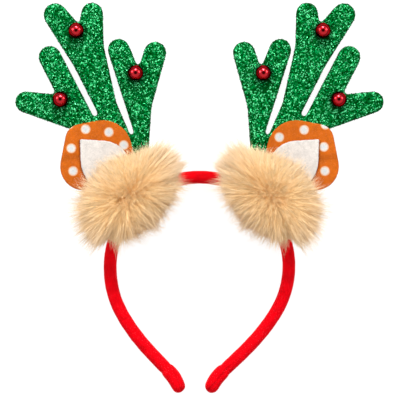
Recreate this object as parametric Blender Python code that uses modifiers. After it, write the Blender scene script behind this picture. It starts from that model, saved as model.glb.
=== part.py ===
"""A reindeer antler headband, lying on its back with its front up.

Everything is in metres. +X runs to the right and +Y from the band's tips over its crown and up the
antlers, as the wearer's front is seen, and +Z comes out of the front. The origin is on the flat back
of the band, under the middle of its crown. Each left piece is the mirror image of the right one; only
the band's legs lean a little to the left.
"""

from collections import namedtuple
from math import acos, asin, atan2, ceil, cos, hypot, pi, radians, sin, sqrt, tau

import bmesh
import bpy
from mathutils import Vector

GAP = 0.0003  # between two pieces that touch

# The band: a padded strip, velvet all round, whose back is flat.
ARCH_RADIUS = 0.0583  # from the middle of the arch to the middle of the strip
BAND_WIDTH = 0.008  # from the inside of the arch to its outside
BAND_DEPTH = 0.010  # from the back to the front
BAND_FRONT_ROUND = 0.0032
BAND_BACK_ROUND = 0.0020
LEG_DROP = 0.0817  # from the arch's widest level to the end of a tip
LEG_LEAN = 0.0031  # how far both tips lie to the left of the middle
TIP_WIDTH = 0.0092  # each leg ends in a slightly thicker gathered sleeve
TIP_DEPTH = 0.0112
TIP_SLEEVE = 0.018  # how much of a leg it covers
TIP_CREASE = 0.0005  # how much narrower the strip is where the sleeve starts

# The pompoms: fur balls, longer along the band than across it.
POMPOM_LENGTH = 0.082
POMPOM_BREADTH = 0.062
POMPOM_DEPTH = 0.052
POMPOM_TILT = radians(42)  # of its long axis, which rises towards the crown
POMPOM_OUTSET = 0.0065  # how far its middle lies outside the middle of the strip
POMPOM_CLEAR_BACK = 0.003  # from the surface that the band lies on to the back of the fur
CROWN_BARE = 0.0172  # the stretch of crown that shows between the two pompoms
LOCK_SHARE = 0.15  # the part of a pompom's radius that is loose locks

# The antlers: padded glitter cloth, glued to the front of the band under the pompoms.
ANTLER_SPAN = 0.0975  # from the outermost lobe to the innermost
ANTLER_RISE = 0.1286  # from the middle of the strip to the highest lobe
ANTLER_THICK = 0.0044
ANTLER_ROUND = 0.0014
BEAD_SIZE = 0.010

# The ears: felt, hollowed a little along the middle, each with a smaller leaf on it.
EAR_WIDTH = 0.049
EAR_FELT = 0.002
EAR_CUP = 0.002  # how far the ear's two sides rise above its middle line
INNER_EAR_FELT = 0.001

ARCH_STEPS = 25  # odd, so that the middle of the crown is one flat facet
LEG_STEPS = 10
LEG_SAMPLES = 120  # how finely a leg's length is measured
CAP_TURNS = (8, 30, 55, 90)  # degrees round a tip's rounded end, one section at each
ARC_STEP = radians(30)  # the most that an arc turns in one step
ARC_SAG = 0.00012  # the most that a step cuts off an arc
FAR_BELOW = 0.02  # how far a cutter reaches below the back of the band

Leg = namedtuple("Leg", "down out")
LEG_SHAPE = (  # shares of LEG_DROP and of ARCH_RADIUS
    Leg(down=0.0, out=1.0),
    Leg(down=0.23, out=0.95),
    Leg(down=0.42, out=0.817),
    Leg(down=0.61, out=0.613),
    Leg(down=0.80, out=0.352),
    Leg(down=0.90, out=0.216),
    Leg(down=1.0, out=0.167),
)

# An outline runs round these circles, outside the full ones and inside the hollow ones, whose radius
# is negative. It starts at the band and goes up the outer side first.
Circle = namedtuple("Circle", "name out up radius")
ANTLER_SHAPE = (  # out and radius are shares of ANTLER_SPAN, up is a share of ANTLER_RISE
    Circle("foot", 0.000, 0.000, 0.060),
    Circle("armpit", 0.273, 0.207, -0.147),
    Circle("outer low lobe", 0.732, 0.506, 0.071),
    Circle("outer crotch", 0.559, 0.559, -0.017),
    Circle("outer high lobe", 0.573, 0.732, 0.075),
    Circle("outer slit", 0.273, 0.447, -0.017),
    Circle("bend of the long stem", 0.471, 0.659, -0.067),
    Circle("crown outer lobe", 0.537, 0.944, 0.078),
    Circle("crown crotch", 0.386, 0.918, -0.013),
    Circle("crown inner lobe", 0.293, 0.951, 0.073),
    Circle("waist of the long stem", 0.083, 0.803, -0.133),
    Circle("neck of the long stem", 0.066, 0.518, -0.068),
    Circle("inner slit", 0.031, 0.353, -0.014),
    Circle("inner high lobe", 0.116, 0.769, 0.073),
    Circle("inner crotch", -0.012, 0.705, -0.013),
    Circle("inner low lobe", -0.125, 0.754, 0.074),
    Circle("inner waist", -0.267, 0.460, -0.167),
)
EAR_SHAPE = (  # shares of EAR_WIDTH
    Circle("base", 0.118, 0.224, 0.159),
    Circle("lower bulge", 0.682, 0.476, 0.318),
    Circle("tip", 0.733, 0.834, 0.199),
    Circle("upper bulge", 0.436, 0.702, 0.385),
)
INNER_EAR_SHAPE = (  # shares of EAR_WIDTH
    Circle("base", 0.171, 0.264, 0.159),
    Circle("lower side", 0.313, 0.556, 0.414),
    Circle("tip", 0.708, 0.804, 0.029),
    Circle("upper side", 0.450, 0.419, 0.398),
)
FELT_STEP = 0.005  # the longest straight edge of a felt leaf's mesh
FELT_RINGS = (0.7, 0.4, 0.15)  # shares of the way from a felt leaf's middle to its rim

Bead = namedtuple("Bead", "name out up")
BEADS = (  # shares of ANTLER_SPAN and of ANTLER_RISE, just below each crotch
    Bead("crown", 0.394, 0.861),
    Bead("outer", 0.498, 0.517),
    Bead("inner", 0.002, 0.649),
)

# Heights of the layers on the front of the band.
ANTLER_BACK = BAND_DEPTH + GAP
ANTLER_FRONT = ANTLER_BACK + ANTLER_THICK
EAR_BACK = ANTLER_FRONT + GAP
INNER_EAR_BACK = EAR_BACK + EAR_FELT + GAP
EARS_FRONT = INNER_EAR_BACK + EAR_CUP + INNER_EAR_FELT

# Where the pompom sits, and below it the post, the point of the strip that everything hangs on.
POMPOM_REACH = hypot(POMPOM_LENGTH / 2 * cos(POMPOM_TILT), POMPOM_BREADTH / 2 * sin(POMPOM_TILT))
POMPOM_OUT = CROWN_BARE / 2 + POMPOM_REACH
POST_BEARING = asin(POMPOM_OUT / (ARCH_RADIUS + POMPOM_OUTSET))
POST_OUT = ARCH_RADIUS * sin(POST_BEARING)
POST_UP = ARCH_RADIUS * cos(POST_BEARING) - ARCH_RADIUS
POMPOM_UP = (ARCH_RADIUS + POMPOM_OUTSET) * cos(POST_BEARING) - ARCH_RADIUS
SIDES = (("left", -1), ("right", 1))


def clear_scene():
    for thing in list(bpy.data.objects):
        bpy.data.objects.remove(thing)


def collection(name):
    group = bpy.data.collections.new(name)
    bpy.context.scene.collection.children.link(group)
    return group


def material(name, colour, roughness, metallic=0.0):
    made = bpy.data.materials.new(name)
    made.use_nodes = True
    shader = made.node_tree.nodes["Principled BSDF"]
    shader.inputs["Base Color"].default_value = (*colour, 1.0)
    shader.inputs["Roughness"].default_value = roughness
    shader.inputs["Metallic"].default_value = metallic
    return made


def add_object(name, data, group, finish=None):
    thing = bpy.data.objects.new(name, data)
    group.objects.link(thing)
    if finish:
        data.materials.append(finish)
    return thing


def mesh_from(name, bm):
    bmesh.ops.recalc_face_normals(bm, faces=bm.faces)
    mesh = bpy.data.meshes.new(name)
    bm.to_mesh(mesh)
    bm.free()
    mesh.shade_smooth()
    mesh.set_sharp_from_angle(angle=radians(40))
    return mesh


def sized(shape, width, height):
    """A table's circles in metres, measured from the post."""
    return [Circle(row.name, row.out * width, row.up * height, row.radius * width) for row in shape]


def belt(circles, grow=0.0):
    """The outline round some circles, grown all round, as points in counterclockwise order."""
    centres = [Vector((row.out, row.up)) for row in circles]
    radii = [row.radius + grow for row in circles]
    leaving = []
    for here in range(len(circles)):
        there = (here + 1) % len(circles)
        way = centres[there] - centres[here]
        leaving.append(atan2(way.y, way.x) - acos((radii[here] - radii[there]) / way.length))
    points = []
    for here, centre in enumerate(centres):
        arriving = leaving[here - 1]
        sweep = (leaving[here] - arriving) % tau
        if sweep > (1.5 * pi if radii[here] > 0 else 0.5 * pi):
            sweep -= tau
        turn = min(ARC_STEP, 2 * acos(1 - ARC_SAG / abs(radii[here])))
        steps = max(1, ceil(abs(sweep) / turn))
        for step in range(steps + 1):
            angle = arriving + sweep * step / steps
            points.append(centre + radii[here] * Vector((cos(angle), sin(angle))))
    return points


def split_long(points, longest):
    """An outline whose straight edges are cut into equal steps, none longer than this."""
    whole = []
    for here, there in zip(points, points[1:] + points[:1]):
        steps = max(1, ceil((there - here).length / longest))
        whole += [here.lerp(there, step / steps) for step in range(steps)]
    return whole


def at_post(points, side):
    """Points that are measured from the post, put on the left or right side, still counterclockwise."""
    placed = [Vector((side * (POST_OUT + point.x), POST_UP + point.y)) for point in points]
    return placed if side > 0 else placed[::-1]


def between(rows, at):
    """A value on the smooth curve through rows of (place, value), level at the first row."""
    places = [row[0] for row in rows]
    values = [row[1] for row in rows]
    last = len(rows) - 1
    slopes = [0.0]
    for row in range(1, last):
        slopes.append((values[row + 1] - values[row - 1]) / (places[row + 1] - places[row - 1]))
    slopes.append((values[last] - values[last - 1]) / (places[last] - places[last - 1]))
    start = max(row for row in range(last) if places[row] <= at)
    width = places[start + 1] - places[start]
    part = (at - places[start]) / width
    rise = values[start + 1] - values[start]
    into, out_of = slopes[start] * width, slopes[start + 1] * width
    bend = (into + out_of - 2 * rise) * part**3 + (3 * rise - 2 * into - out_of) * part**2
    return values[start] + into * part + bend


def leg_point(side, down):
    out = ARCH_RADIUS * between(LEG_SHAPE, down)
    return Vector((side * out - LEG_LEAN * down**1.5, -ARCH_RADIUS - LEG_DROP * down))


def leg_places():
    """How far from the end of the tip each section of a leg lies, from the tip up."""
    cap = TIP_WIDTH / 2
    places = [cap * (1 - cos(radians(turn))) for turn in CAP_TURNS]
    places += [(cap + TIP_SLEEVE) / 2, TIP_SLEEVE - 3 * TIP_CREASE, TIP_SLEEVE - TIP_CREASE]
    return places + [TIP_SLEEVE + TIP_CREASE, TIP_SLEEVE + 4 * TIP_CREASE]


def strip_size(from_tip):
    """The width and depth of the strip at a distance from the end of its tip."""
    in_sleeve = min(max((TIP_SLEEVE - from_tip) / (2 * TIP_CREASE), 0.0), 1.0)
    width = BAND_WIDTH + (TIP_WIDTH - BAND_WIDTH) * in_sleeve
    depth = BAND_DEPTH + (TIP_DEPTH - BAND_DEPTH) * in_sleeve
    if abs(from_tip - TIP_SLEEVE) < 1.5 * TIP_CREASE:
        width -= TIP_CREASE
        depth -= TIP_CREASE
    inside_end = min(from_tip / (TIP_WIDTH / 2), 1.0)
    full = sqrt(1 - (1 - inside_end) ** 2)
    return width * full, depth * (0.5 + 0.5 * full)


def strip_sections():
    """(middle, direction out of the arch, width, depth) of each section, from the left tip to the right."""
    halves = []
    for _, side in SIDES:
        fine = [leg_point(side, step / LEG_SAMPLES) for step in range(LEG_SAMPLES + 1)]
        lengths = [0.0]
        for here, there in zip(fine[::-1], fine[-2::-1]):
            lengths.append(lengths[-1] + (there - here).length)
        along = list(zip(lengths, fine[::-1]))
        places = leg_places()
        rest = lengths[-1] - places[-1]
        places += [places[-1] + rest * step / LEG_STEPS for step in range(1, LEG_STEPS)]
        half = []
        for place in places:
            spot = max(row for row in range(len(along) - 1) if along[row][0] <= place)
            (before, low), (after, high) = along[spot], along[spot + 1]
            middle = low.lerp(high, (place - before) / (after - before))
            up_leg = (high - low).normalized()
            half.append((middle, Vector((up_leg.y, -up_leg.x)) * side, *strip_size(place)))
        halves.append(half)
    arch = []
    for step in range(ARCH_STEPS + 1):
        bearing = pi * (step / ARCH_STEPS - 0.5)
        outward = Vector((sin(bearing), cos(bearing)))
        arch.append((outward * ARCH_RADIUS - Vector((0, ARCH_RADIUS)), outward, BAND_WIDTH, BAND_DEPTH))
    return halves[0] + arch + halves[1][::-1]


def strip_mesh(name, grow=0.0, below=0.0):
    """The strip, grown all round, with its back this far below the surface that it lies on."""
    bm = bmesh.new()
    rings = []
    for middle, outward, width, depth in strip_sections():
        half = width / 2 + grow
        front = depth + grow
        full = min(half / (BAND_WIDTH / 2), 1.0)
        corners = (
            (-1, -below, BAND_BACK_ROUND * full, pi),
            (1, -below, BAND_BACK_ROUND * full, 1.5 * pi),
            (1, front, BAND_FRONT_ROUND * full, 0.0),
            (-1, front, BAND_FRONT_ROUND * full, 0.5 * pi),
        )
        ring = []
        for across, height, corner, first in corners:
            centre_out = across * (half - corner)
            centre_up = height + (corner if height <= 0 else -corner)
            for turn in (0.0, 0.25 * pi, 0.5 * pi):
                out = centre_out + corner * cos(first + turn)
                up = centre_up + corner * sin(first + turn)
                place = middle + outward * out
                ring.append(bm.verts.new((place.x, place.y, up)))
        rings.append(ring)
    for here, there in zip(rings, rings[1:]):
        for corner in range(len(here)):
            after = (corner + 1) % len(here)
            bm.faces.new((here[corner], here[after], there[after], there[corner]))
    bm.faces.new(rings[0])
    bm.faces.new(rings[-1])
    return mesh_from(name, bm)


def make_headband(parts):
    velvet = material("red velvet", (0.72, 0.0, 0.012), 0.85)
    add_object("headband", strip_mesh("headband"), parts, velvet)


def antler_outline(side, grow=0.0):
    return at_post(belt(sized(ANTLER_SHAPE, ANTLER_SPAN, ANTLER_RISE), grow), side)


def ear_outline(shape, side, grow=0.0):
    return at_post(belt(sized(shape, EAR_WIDTH, EAR_WIDTH), grow), side)


def plate(name, outline, parts, finish):
    """A flat outline with rounded edges, as a filled curve whose bevel grows it to its true size."""
    curve = bpy.data.curves.new(name, "CURVE")
    curve.dimensions = "2D"
    curve.fill_mode = "BOTH"
    curve.extrude = ANTLER_THICK / 2 - ANTLER_ROUND
    curve.bevel_depth = ANTLER_ROUND
    curve.bevel_resolution = 1
    spline = curve.splines.new("POLY")
    spline.points.add(len(outline) - 1)
    for point, place in zip(spline.points, outline):
        point.co = (place.x, place.y, 0, 1)
    spline.use_cyclic_u = True
    thing = add_object(name, curve, parts, finish)
    thing.location.z = ANTLER_BACK + ANTLER_THICK / 2
    thing.modifiers.new("caps to sides", "WELD").merge_threshold = 0.00001


def make_antlers(parts):
    glitter = material("green glitter cloth", (0.0, 0.27, 0.05), 0.45, 0.3)
    for word, side in SIDES:
        plate("antler_" + word, antler_outline(side, -ANTLER_ROUND), parts, glitter)


def make_beads(parts):
    pearl = material("red pearl", (0.55, 0.0, 0.01), 0.12, 0.6)
    ball = bmesh.new()
    bmesh.ops.create_uvsphere(ball, u_segments=12, v_segments=8, radius=BEAD_SIZE / 2)
    mesh = mesh_from("bead", ball)
    for word, side in SIDES:
        for row in BEADS:
            bead = add_object(f"bead_{word}_{row.name}", mesh, parts)
            out = POST_OUT + row.out * ANTLER_SPAN
            up = POST_UP + row.up * ANTLER_RISE
            bead.location = (side * out, up, ANTLER_FRONT + GAP + BEAD_SIZE / 2)
    mesh.materials.append(pearl)


def cup_height(out, up):
    """How far the ear rises above its middle line at a place that is measured from the post."""
    base, lower, tip, upper = sized(EAR_SHAPE, EAR_WIDTH, EAR_WIDTH)
    spine = Vector((tip.out - base.out, tip.up - base.up)).normalized()
    across = abs(spine.x * (up - base.up) - spine.y * (out - base.out))
    widest = abs(spine.x * (upper.up - base.up) - spine.y * (upper.out - base.out)) + upper.radius
    return EAR_CUP * (across / widest) ** 2


def felt_leaf(name, shape, side, back, thickness, parts, finish):
    """A felt outline filled in with rings towards its middle and hollowed like the ear."""
    outline = split_long(ear_outline(shape, side), FELT_STEP)
    middle = sum(outline, Vector((0, 0))) / len(outline)
    bm = bmesh.new()
    rim = [bm.verts.new((point.x, point.y, 0)) for point in outline]
    edges = [bm.edges.new((rim[place - 1], rim[place])) for place in range(len(rim))]
    inside = 1.0
    for share in FELT_RINGS:
        grown = bmesh.ops.extrude_edge_only(bm, edges=edges)["geom"]
        edges = [piece for piece in grown if isinstance(piece, bmesh.types.BMEdge)]
        for vert in {vert for edge in edges for vert in edge.verts}:
            vert.co.xy = middle + (vert.co.xy - middle) * share / inside
        inside = share
    cap = bmesh.ops.contextual_create(bm, geom=edges)["faces"]
    bmesh.ops.poke(bm, faces=cap)
    for vert in bm.verts:
        vert.co.z = back + cup_height(side * vert.co.x - POST_OUT, vert.co.y - POST_UP)
    mesh = mesh_from(name, bm)
    if sum(face.normal.z for face in mesh.polygons) < 0:
        mesh.flip_normals()
    thing = add_object(name, mesh, parts, finish)
    wall = thing.modifiers.new("felt", "SOLIDIFY")
    wall.thickness = thickness
    wall.offset = 1.0
    wall.use_even_offset = True


def make_ears(parts):
    orange = material("orange felt", (0.66, 0.17, 0.03), 0.95)
    cream = material("cream felt", (0.86, 0.80, 0.72), 0.95)
    for word, side in SIDES:
        felt_leaf("ear_" + word, EAR_SHAPE, side, EAR_BACK, EAR_FELT, parts, orange)
        felt_leaf(
            "inner_ear_" + word, INNER_EAR_SHAPE, side, INNER_EAR_BACK, INNER_EAR_FELT, parts, cream
        )


def prism(name, outline, top, group):
    """A cutter: an outline from far below the band up to a height."""
    bm = bmesh.new()
    floor = bm.faces.new([bm.verts.new((point.x, point.y, -FAR_BELOW)) for point in outline])
    grown = bmesh.ops.extrude_face_region(bm, geom=[floor])["geom"]
    raised = [piece for piece in grown if isinstance(piece, bmesh.types.BMVert)]
    bmesh.ops.translate(bm, verts=raised, vec=(0, 0, top + FAR_BELOW))
    return cutter(name, mesh_from(name, bm), group)


def cutter(name, mesh, group):
    thing = add_object(name, mesh, group)
    thing.hide_render = True
    thing.display_type = "WIRE"
    return thing


def pompom_mesh(name):
    """A fur ball in locks: a core whose faces above the glued back are drawn out to points."""
    stretch = (POMPOM_LENGTH / 2, POMPOM_BREADTH / 2, POMPOM_DEPTH / 2)
    middle = POMPOM_CLEAR_BACK + POMPOM_DEPTH / 2
    above_ears = (EARS_FRONT + GAP - middle) / (POMPOM_DEPTH / 2)
    bm = bmesh.new()
    bmesh.ops.create_icosphere(bm, subdivisions=3, radius=1 - LOCK_SHARE)
    locks = [face for face in bm.faces if min(vert.co.z for vert in face.verts) > above_ears]
    bmesh.ops.inset_individual(bm, faces=locks, thickness=0.3 * LOCK_SHARE, depth=0.4 * LOCK_SHARE)
    bmesh.ops.poke(bm, faces=locks, offset=0.6 * LOCK_SHARE)
    bmesh.ops.scale(bm, verts=bm.verts, vec=stretch)
    return mesh_from(name, bm)


def make_pompoms(parts, cutters):
    fur = material("tan fur", (0.80, 0.56, 0.32), 0.9)
    band = cutter("band_room", strip_mesh("band_room", GAP, FAR_BELOW), cutters)
    for word, side in SIDES:
        antler = prism("antler_room_" + word, antler_outline(side, GAP), ANTLER_FRONT + GAP, cutters)
        ear = prism("ear_room_" + word, ear_outline(EAR_SHAPE, side, GAP), EARS_FRONT + GAP, cutters)
        name = "pompom_" + word
        pompom = add_object(name, pompom_mesh(name), parts, fur)
        pompom.location = (side * POMPOM_OUT, POMPOM_UP, POMPOM_CLEAR_BACK + POMPOM_DEPTH / 2)
        pompom.rotation_euler.z = -side * POMPOM_TILT
        for room in (band, antler, ear):
            cut = pompom.modifiers.new(room.name, "BOOLEAN")
            cut.operation = "DIFFERENCE"
            cut.object = room


def main():
    clear_scene()
    parts = collection("reindeer antler headband")
    cutters = collection("cutters")
    make_headband(parts)
    make_antlers(parts)
    make_beads(parts)
    make_ears(parts)
    make_pompoms(parts, cutters)


main()
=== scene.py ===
"""Dresses the reindeer antler headband as it lies on its back: velvet, glitter cloth, pearls, felt and fur.

Everything is in metres and in the frame's own axes: +X runs to the right and +Y up the antlers, as the
wearer's front is seen, and +Z comes out of the front. Places come from the frame's pieces, and the sizes
and colours that a user would change are in the property groups.
"""

from collections import namedtuple
from math import cos, pi, radians, sin, tau

import bmesh
import bpy
import numpy as np
from bpy.props import FloatProperty, FloatVectorProperty, IntProperty, PointerProperty
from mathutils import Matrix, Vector
from mathutils.bvhtree import BVHTree
from mathutils.kdtree import KDTree


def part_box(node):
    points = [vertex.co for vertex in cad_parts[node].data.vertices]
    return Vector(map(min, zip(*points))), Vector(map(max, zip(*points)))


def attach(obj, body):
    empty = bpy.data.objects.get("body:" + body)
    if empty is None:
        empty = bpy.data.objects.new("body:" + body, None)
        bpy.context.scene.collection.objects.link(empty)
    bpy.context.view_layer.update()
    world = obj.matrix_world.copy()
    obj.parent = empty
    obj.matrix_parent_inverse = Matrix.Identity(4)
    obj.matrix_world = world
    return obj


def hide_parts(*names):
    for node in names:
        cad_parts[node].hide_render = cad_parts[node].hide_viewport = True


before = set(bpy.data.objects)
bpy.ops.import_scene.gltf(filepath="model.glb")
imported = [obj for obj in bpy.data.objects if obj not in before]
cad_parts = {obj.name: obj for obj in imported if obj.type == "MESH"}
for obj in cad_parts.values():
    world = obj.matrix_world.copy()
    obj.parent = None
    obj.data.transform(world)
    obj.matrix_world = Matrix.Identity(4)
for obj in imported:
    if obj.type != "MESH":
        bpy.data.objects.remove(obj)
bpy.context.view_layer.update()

bl_info = {
    "name": "Reindeer antler headband",
    "version": (1, 0, 0),
    "blender": (4, 5, 0),
    "location": "3D View > Sidebar > Headband",
    "description": "Dresses a costume headband in velvet, glitter cloth, pearls, felt and fur",
    "category": "Object",
}

SIDES = (("left", -1), ("right", 1))
BEADS = ("crown", "outer", "inner")
MERGE = 0.00002  # corners of the frame's loose triangles that are this close are one
FLOOR_GAP = 0.0004  # between the floor and the lowest hair
BAND_GAP = 0.00002  # between the floor and the velvet that lies on it
NO_WAY = 0.00001  # a distance that is too short to have a direction
FIBRE_WIDTH = 0.11  # of a loose fibre at its root, as a share of the longest fibre's length
FIBRE_LENGTHS = (0.4, 1.0)  # least and most, as shares of the longest
FIBRE_WIDTHS = (0.7, 1.3)  # least and most, as shares of the usual width
FIBRE_SPREAD = 0.35  # how unevenly loose fibres point

Skin = namedtuple("Skin", "face rounds")  # the size of its even faces, and its rounds of smoothing
ANTLER_SKIN = Skin(0.0008, 6)
EAR_SKIN = Skin(0.0006, 2)
INNER_EAR_SKIN = Skin(0.0005, 2)
CORE_SKIN = Skin(0.0018, 12)

FIBRE_BEND = 0.0012  # how far matted fibres are bent off their straight pattern
THREAD_SHARE = 0.55  # of matted fibres' shade that follows the single threads
PATCH_SHARE = 0.45  # of it that follows the broad patches
GRAIN_LEAN = 2.4  # of the cloth's grains, for each part of the glitter's tilt

# The velvet band

SLEEVE_LENGTH = 0.018  # of the gathered velvet at each tip of the band
LEG_MIDDLE = -0.0031  # X of the middle between the two tips
SWELL = 0.00022  # how much fuller the pile makes the band than its smoothed skin
WAVE_DEPTH = 0.00006  # of the velvet's faint unevenness
WAVE_TURNS = ((620.0, 410.0), (-290.0, 530.0))  # of its two crossing waves, in radians a metre along X and Y
FOLD_ASIDE = 0.0026  # from the line down a tip's middle to its fold
FOLD_WIDTH = 0.0007
FRONT_NORMAL = 0.2  # least Z of the normal where the surface is part of the front
PILE_LIE = 0.45  # of the pile's hairs, which would stand up at 0 and lie flat at 1

# The glitter antlers and their pearls

PAD_RIM = 0.3  # of half a pad's thickness, each way from its middle, that counts as its rim
PAD_LEAST = 0.52  # of a pad's thickness that is left at its very rim
RIM_SHADE = 0.0020  # how far from its rim the glitter cloth is darkened by a painted shade
RIM_LIGHT = 0.80  # of the light that this painted shade leaves at the very rim
PEARL_SHADOW_REACH = 0.0030  # how far a painted shadow darkens the cloth round a pearl
PEARL_SHADOW_LEAST = 0.1  # of the light that this painted shadow leaves where the cloth meets a pearl
GLITTER_PATCH = 1 / 260  # size of the lighter and darker patches
FLAKE_CORNERS = 6
FLAKE_LIFT = 0.00012  # of the flakes above the cloth
FLAKE_SIZES = (0.55, 1.15)  # least and most, as shares of the usual size
PEARL_LIT = 0.90  # height on a pearl, as a share of its radius, above which it gets no painted shade for what lies beside it
PEARL_DARK = 0.42  # and below which a painted shade, for the cloth beside it, takes most of its red
PEARL_CLOUD = 1 / 900  # size of the clouds in a pearl's red

# The felt ears

Dot = namedtuple("Dot", "out up")
DOTS = {  # printed on the ears, as shares of the ear's box from its inner low corner
    "left": (
        Dot(0.676, 0.882),
        Dot(0.381, 0.844),
        Dot(0.193, 0.676),
        Dot(0.857, 0.636),
        Dot(0.833, 0.342),
        Dot(0.098, 0.868),
        Dot(0.888, 0.945),
    ),
    "right": (
        Dot(0.243, 0.778),
        Dot(0.558, 0.874),
        Dot(0.808, 0.654),
        Dot(0.820, 0.342),
        Dot(0.828, 0.940),
    ),
}
DOT_WANDER = 0.0006  # how far a dot's edge wanders in all
DOT_GRAIN = 1 / 2600  # size of the wandering
EAR_FOLD_UP = 0.50  # where a faint fold crosses the ear's outer side, as a share of its height
EAR_FOLD_OUT = 0.070  # how far from the middle of the headband the fold begins
EAR_FOLD_RISE = 0.008  # over which it comes to its full depth
EAR_FOLD_WIDTH = 0.0022
EAR_FOLD_DEPTH = 0.0004
EAR_FOLD_SHADE = 0.004  # how far from the fold its painted shade ends
CORNER_REACH = 0.0045  # from an inner ear's outer corner, which is drawn out to a point
CORNER_PULL = 0.5  # how far felt at that corner is drawn to it
INNER_EAR_SHADOW_WIDTH = 0.0015  # of the painted shadow beside an inner ear's outer edge
INNER_EAR_SHADOW_FALL = 0.5  # how much this painted shadow also falls downwards
FUZZ_LIE = 0.8  # of the felt's fibres, which would stand up at 0 and lie flat at 1

# The fur pompoms. Their ball, which the CAD solid follows, is longer along the band than across it.

POMPOM_SIZE = Vector((0.082, 0.062, 0.052))
POMPOM_TILT = radians(42)  # of its long axis, which rises towards the crown
POMPOM_RISE = 0.0005  # of the ball's top above the solid's
NEIGHBOUR_GAP = 0.001  # above the highest piece beside a pompom, where strands begin to be draped over it

# A layer's share is of the strands. Its root, knee, reach and wisp are shares of the ball's radius: where
# strands start, bend and end, and how far wisps stand out. Its width is a strand's at the root, and its pull
# how far strands are drawn to the middle of their lock, least and most.
Layer = namedtuple("Layer", "name share root knee reach wisp width pull")
FUR_LAYERS = (
    Layer("fur_under", 0.47, root=0.46, knee=0.78, reach=0.80, wisp=0.045, width=0.00034, pull=(0.2, 0.78)),
    Layer("fur_long", 0.53, root=0.50, knee=0.86, reach=0.85, wisp=0.105, width=0.00020, pull=(0.15, 0.94)),
)
WISP_LIMIT = 4.2  # how many times a layer's usual wisp its longest strands stand out
STRAND_SECTIONS = (0.0, 0.38, 0.72, 1.0)  # shares of a strand's length
STRAND_TAPER = (1.0, 0.85, 0.5)  # of its width, at each section but the tip
STRAND_CURL = 0.02  # how far a strand wanders from its curve, as a share of the pompom's radius
STRAND_TWIST = 0.012  # the more, the less evenly the strands' flat sides face outwards
STRAND_CLEAR = (0.0002, 0.0016)  # how high strands lie over the pieces beside a pompom
STRAND_WIDTHS = (0.7, 1.25)  # least and most, as shares of the layer's width

Trim = namedtuple("Trim", "bearing reach wisp")
FUR_TRIM = (  # shares of the usual, by the bearing from a pompom's long axis, in degrees towards the ear
    Trim(0, 1.13, 0.7),
    Trim(18, 1.10, 0.9),
    Trim(28, 0.97, 0.7),
    Trim(40, 0.89, 0.5),
    Trim(52, 0.78, 0.6),
    Trim(64, 0.74, 0.8),
    Trim(76, 0.75, 0.9),
    Trim(88, 0.78, 0.9),
    Trim(113, 0.84, 1.0),
    Trim(138, 0.92, 1.0),
    Trim(165, 0.96, 0.9),
    Trim(190, 1.05, 0.9),
    Trim(203, 1.13, 0.8),
    Trim(213, 0.86, 0.3),
    Trim(225, 0.91, 1.0),
    Trim(243, 0.83, 1.0),
    Trim(258, 0.775, 1.1),
    Trim(273, 0.76, 1.0),
    Trim(288, 0.79, 1.0),
    Trim(318, 0.93, 1.2),
    Trim(327, 0.93, 0.7),
    Trim(334, 1.06, 0.4),
    Trim(341, 1.24, 0.5),
    Trim(349, 1.17, 0.5),
)

TUFT_PULL = (0.0, 0.20)  # how far strands are drawn to the middle of their broad tuft, least and most
GATHERED_REACH = (0.95, 1.02)  # of a tuft's or a lock's strands, least and most, as shares of the usual
STRAND_TONE = 0.35  # the part of a strand's tone that is its own
TUFT_TONE = 0.05  # the part that is its tuft's
LOCK_TONE = 0.60  # the part that is its lock's
STRAND_LIE = (0.55, 1.08)  # how far a strand or a lock lies over, as a share of the pompom's lie
KNEE_LEAN = 0.35  # how far a strand has leant towards its tip at the knee
CURL_TURNS = (0.8, 2.0)  # half turns that a strand's wandering makes, least and most
PALE_FROM = 0.35  # of the radius, away from the parting, where the fur begins to turn pale
PALE_OVER = 0.55  # of the radius, over which it turns pale
PAINTED_FUR_GLOW = 0.15  # strength of a painted glow that the fur gives off, standing in for light that thin hairs pass on, most of it in the middle of the fur
CORE_SHARE = 0.68  # of a pompom's radius that its knotted core fills
CORE_ALONG = 0.12  # the place along a strand whose colour the core has
CORE_TONE = 0.4  # and the tone that it has

# The stage

Lamp = namedtuple("Lamp", "name place size share")
LAMPS = (  # all look at the frame's origin, and share is of the main light's power
    Lamp("key light", (0.0, 0.93, 0.82), 0.44, 1.0),
    Lamp("left light", (-1.0, 0.40, 0.75), 0.46, 0.35),
    Lamp("right light", (1.0, 0.40, 0.75), 0.46, 0.31),
)
SKY = ((0.0, 0.28), (0.30, 0.40), (0.42, 1.0), (0.86, 1.0), (0.945, 0.05))  # its light, by height
FLOOR_REACH = 3.0  # from the middle of the floor to its edges
FLOOR_DROP = 0.0001  # of the floor below what lies on it
PICTURE_MIDDLE = (0.0003, -0.0150)  # X and Y of what the camera looks down on


# Sizes and colours that a user would change


def colour(name, description, value):
    return FloatVectorProperty(
        name=name, description=description, default=value, subtype="COLOR", size=3, min=0.0, max=1.0
    )


def length(name, description, value):
    return FloatProperty(
        name=name, description=description, default=value, min=0.0, unit="LENGTH", precision=5
    )


def amount(name, description, value, most=1.0):
    return FloatProperty(name=name, description=description, default=value, min=0.0, max=most)


def number(name, description, value):
    return IntProperty(name=name, description=description, default=value, min=0)


class VelvetLook(bpy.types.PropertyGroup):
    pile: colour("Pile", "Colour of the band's velvet", (0.78, 0.0, 0.005))
    shade: colour("Shade", "Colour where the pile is pressed", (0.52, 0.0, 0.003))
    # The rim colour tints the velvet's sheen, and is also a painted sheen on the pile's hairs.
    rim: colour("Rim", "Colour of the sheen along the band's edges", (1.0, 0.12, 0.18))
    hairs: number("Hairs", "Short hairs that stand out of the pile", 26000)
    hair_length: length("Hair length", "How far the pile stands up", 0.00055)
    fold_depth: length("Fold depth", "Depth of the fold in the gathered tips", 0.0005)


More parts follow.
